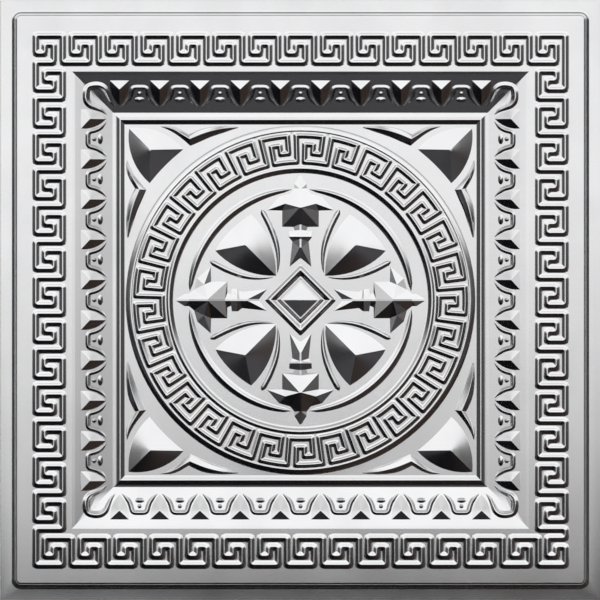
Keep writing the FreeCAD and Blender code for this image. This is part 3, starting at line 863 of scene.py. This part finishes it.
def painted(name, item):
    """Gives an item a new node material and returns its empty tree."""
    material = bpy.data.materials.new(name)
    material.use_nodes = True
    item.data.materials.append(material)
    return Finish(material.node_tree)


def tinplate(sheet):
    """Bare pressed tinplate: satin, with rolling grain, faint waves in the flats, polished crests,
    and creases that are rougher and darker in colour."""
    shaded, bright = (0.77, 0.77, 0.78, 1), (0.83, 0.83, 0.84, 1)
    darker_crease_colour, polish = (0.50, 0.48, 0.46, 1), (0.88, 0.88, 0.88, 1)
    finish = painted("tinplate", sheet)
    place = finish.node("ShaderNodeTexCoord", {}, {}, "Object")
    # The relief is over a half on crests and under a half in creases
    relief = finish.node("ShaderNodeAttribute", {"attribute_name": "relief"}, {}, "Fac")
    crest = finish.span(relief, 0.56, 0.8)
    crease = finish.span(relief, 0.44, 0.25)
    rolled = finish.stretched(place, (60.0, 1800.0, 60.0))
    grain = finish.noise(rolled, scale=1.0, detail=3.0, roughness=0.6)
    patches = finish.noise(place, scale=14.0, detail=3.0, roughness=0.55)
    clouds = finish.noise(place, scale=4.0, detail=2.0, roughness=0.5)
    drawn = finish.stretched(place, (1.0, 0.7, 1.0))
    waves = finish.noise(drawn, scale=9.0, detail=1.0, roughness=0.4)
    dust = finish.noise(place, scale=2600.0, detail=2.0, roughness=0.6)
    sheen = finish.mix(finish.span(patches, 0.3, 0.7), shaded, bright)
    # The colour is darker in the creases, by the crease share and the clouds' noise
    creases_darkened = finish.mix(crease * (0.35 + 0.4 * clouds), sheen, darker_crease_colour)
    colour = finish.mix(crest * 0.5, creases_darkened, polish)
    roughness = 0.12 + 0.06 * grain + 0.05 * patches + 0.06 * crease - 0.03 * crest
    height = 0.012 * grain + 0.006 * dust + 0.35 * waves
    bump = finish.node("ShaderNodeBump", {}, {"Strength": 0.6, "Distance": 0.001,
                                              "Height": height})
    shader = finish.node("ShaderNodeBsdfPrincipled", {},
                         {"Base Color": colour, "Metallic": 1.0, "Roughness": roughness,
                          "Normal": bump})
    finish.node("ShaderNodeOutputMaterial", {}, {"Surface": shader})


def plane(name, centre, size):
    """A level rectangle of the studio."""
    half_x, half_y = size[0] / 2, size[1] / 2
    mesh = bpy.data.meshes.new(name)
    mesh.from_pydata([(-half_x, -half_y, 0), (half_x, -half_y, 0), (half_x, half_y, 0),
                      (-half_x, half_y, 0)], [], [(0, 1, 2, 3)])
    made = bpy.data.objects.new(name, mesh)
    made.location = centre
    bpy.context.scene.collection.objects.link(made)
    return made


def pale_floor():
    floor = plane("floor", centre=(0.0, 0.0, -0.0005), size=(8.0, 8.0))
    finish = painted("pale_floor", floor)
    shader = finish.node("ShaderNodeBsdfPrincipled", {},
                         {"Base Color": (0.8, 0.8, 0.8, 1), "Roughness": 0.8})
    finish.node("ShaderNodeOutputMaterial", {}, {"Surface": shader})


def graded_scrim():
    """A scrim over the tile, which the level parts mirror: dark past the tile's bottom side.

    Distances on it are metres from a line a little under the middle of the tile, which steps up
    from left to right. The dark ends a third of a metre under that line. From there the scrim
    opens slowly towards the top side, with one faint band. A dim wall stands out of the dark.
    """
    left_dark, right_dark = (0.004, 0.004, 0.005, 1), (0.036, 0.026, 0.022, 1)
    wall_grey = (0.08, 0.08, 0.088, 1)
    line, line_rise, band_share = 3.57, 0.045, 0.2
    scrim = plane("scrim", centre=(0.0, -3.6, 2.0), size=(14.0, 8.8))
    scrim.visible_camera = False
    finish = painted("graded_scrim", scrim)
    place = finish.node("ShaderNodeTexCoord", {}, {}, "Object")
    across = finish.along(place, "X")
    reach = finish.along(place, "Y") - line - line_rise * finish.span(across, -0.3, 0.0)
    opening = finish.span(reach, -0.385, -0.285) * finish.span(reach, -0.6, 0.3, 0.36, 1.0)
    band = band_share * finish.span(reach, 0.31, 0.35) * finish.span(reach, 0.5, 0.4)
    clear = finish.node("ShaderNodeBsdfTransparent", {}, {})
    shade = finish.mix(finish.span(across, -0.4, 1.2), left_dark, right_dark)
    wall = finish.span(reach, -0.6, -0.92) * finish.span(reach, -1.14, -0.99)
    shade = finish.mix(wall, shade, wall_grey)
    dark = finish.node("ShaderNodeEmission", {}, {"Color": shade, "Strength": 1.0})
    share, closed, opened = 0, 1, 2
    shader = finish.node("ShaderNodeMixShader", {}, {share: opening - band, closed: dark,
                                                     opened: clear})
    finish.node("ShaderNodeOutputMaterial", {}, {"Surface": shader})


def room():
    """A bright room, dim at its two sides and near the floor, and dark past the tile's bottom
    side. The sides brighten towards the tile's top side."""
    full, side_share, bottom_share, low_share = 1.12, 0.09, 0.05, 0.35
    world = bpy.data.worlds.new("room")
    world.use_nodes = True
    finish = Finish(world.node_tree)
    direction = finish.node("ShaderNodeTexCoord", {}, {}, "Generated")
    right, top, up = (finish.along(direction, axis) for axis in ("X", "Y", "Z"))
    sides = (finish.span(right, 0.38, 0.68, 1.0, side_share)
             * finish.span(right, -0.48, -0.66, 1.0, side_share))
    light = full - full * (1 - sides) * finish.span(top, 0.18, 0.34, 1.0, 0.0)
    light = (light * finish.span(top, 0.0, -0.5, 1.0, bottom_share)
             * finish.span(up, 0.62, 0.22, 1.0, low_share))
    shader = finish.node("ShaderNodeBackground", {}, {"Color": (1, 1, 1, 1), "Strength": light})
    finish.node("ShaderNodeOutputWorld", {}, {"Surface": shader})
    bpy.context.scene.world = world


def camera():
    """A long lens straight over the tile, with the tile across the whole frame."""
    distance, sensor, view_width, half_pixel = 10.0, 36.0, 0.603, 0.0005
    data = bpy.data.cameras.new("camera")
    data.sensor_width = sensor
    data.lens = sensor * distance / view_width
    made = bpy.data.objects.new("camera", data)
    made.location = (-half_pixel, 0.0, distance)
    bpy.context.scene.collection.objects.link(made)
    bpy.context.scene.camera = made


tile = build_sheet()
tinplate(tile)
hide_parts(SHEET_NODE)
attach(tile, "root")
pale_floor()
graded_scrim()
room()
camera()
bpy.context.scene.view_settings.view_transform = "Standard"
bpy.context.view_layer.update()
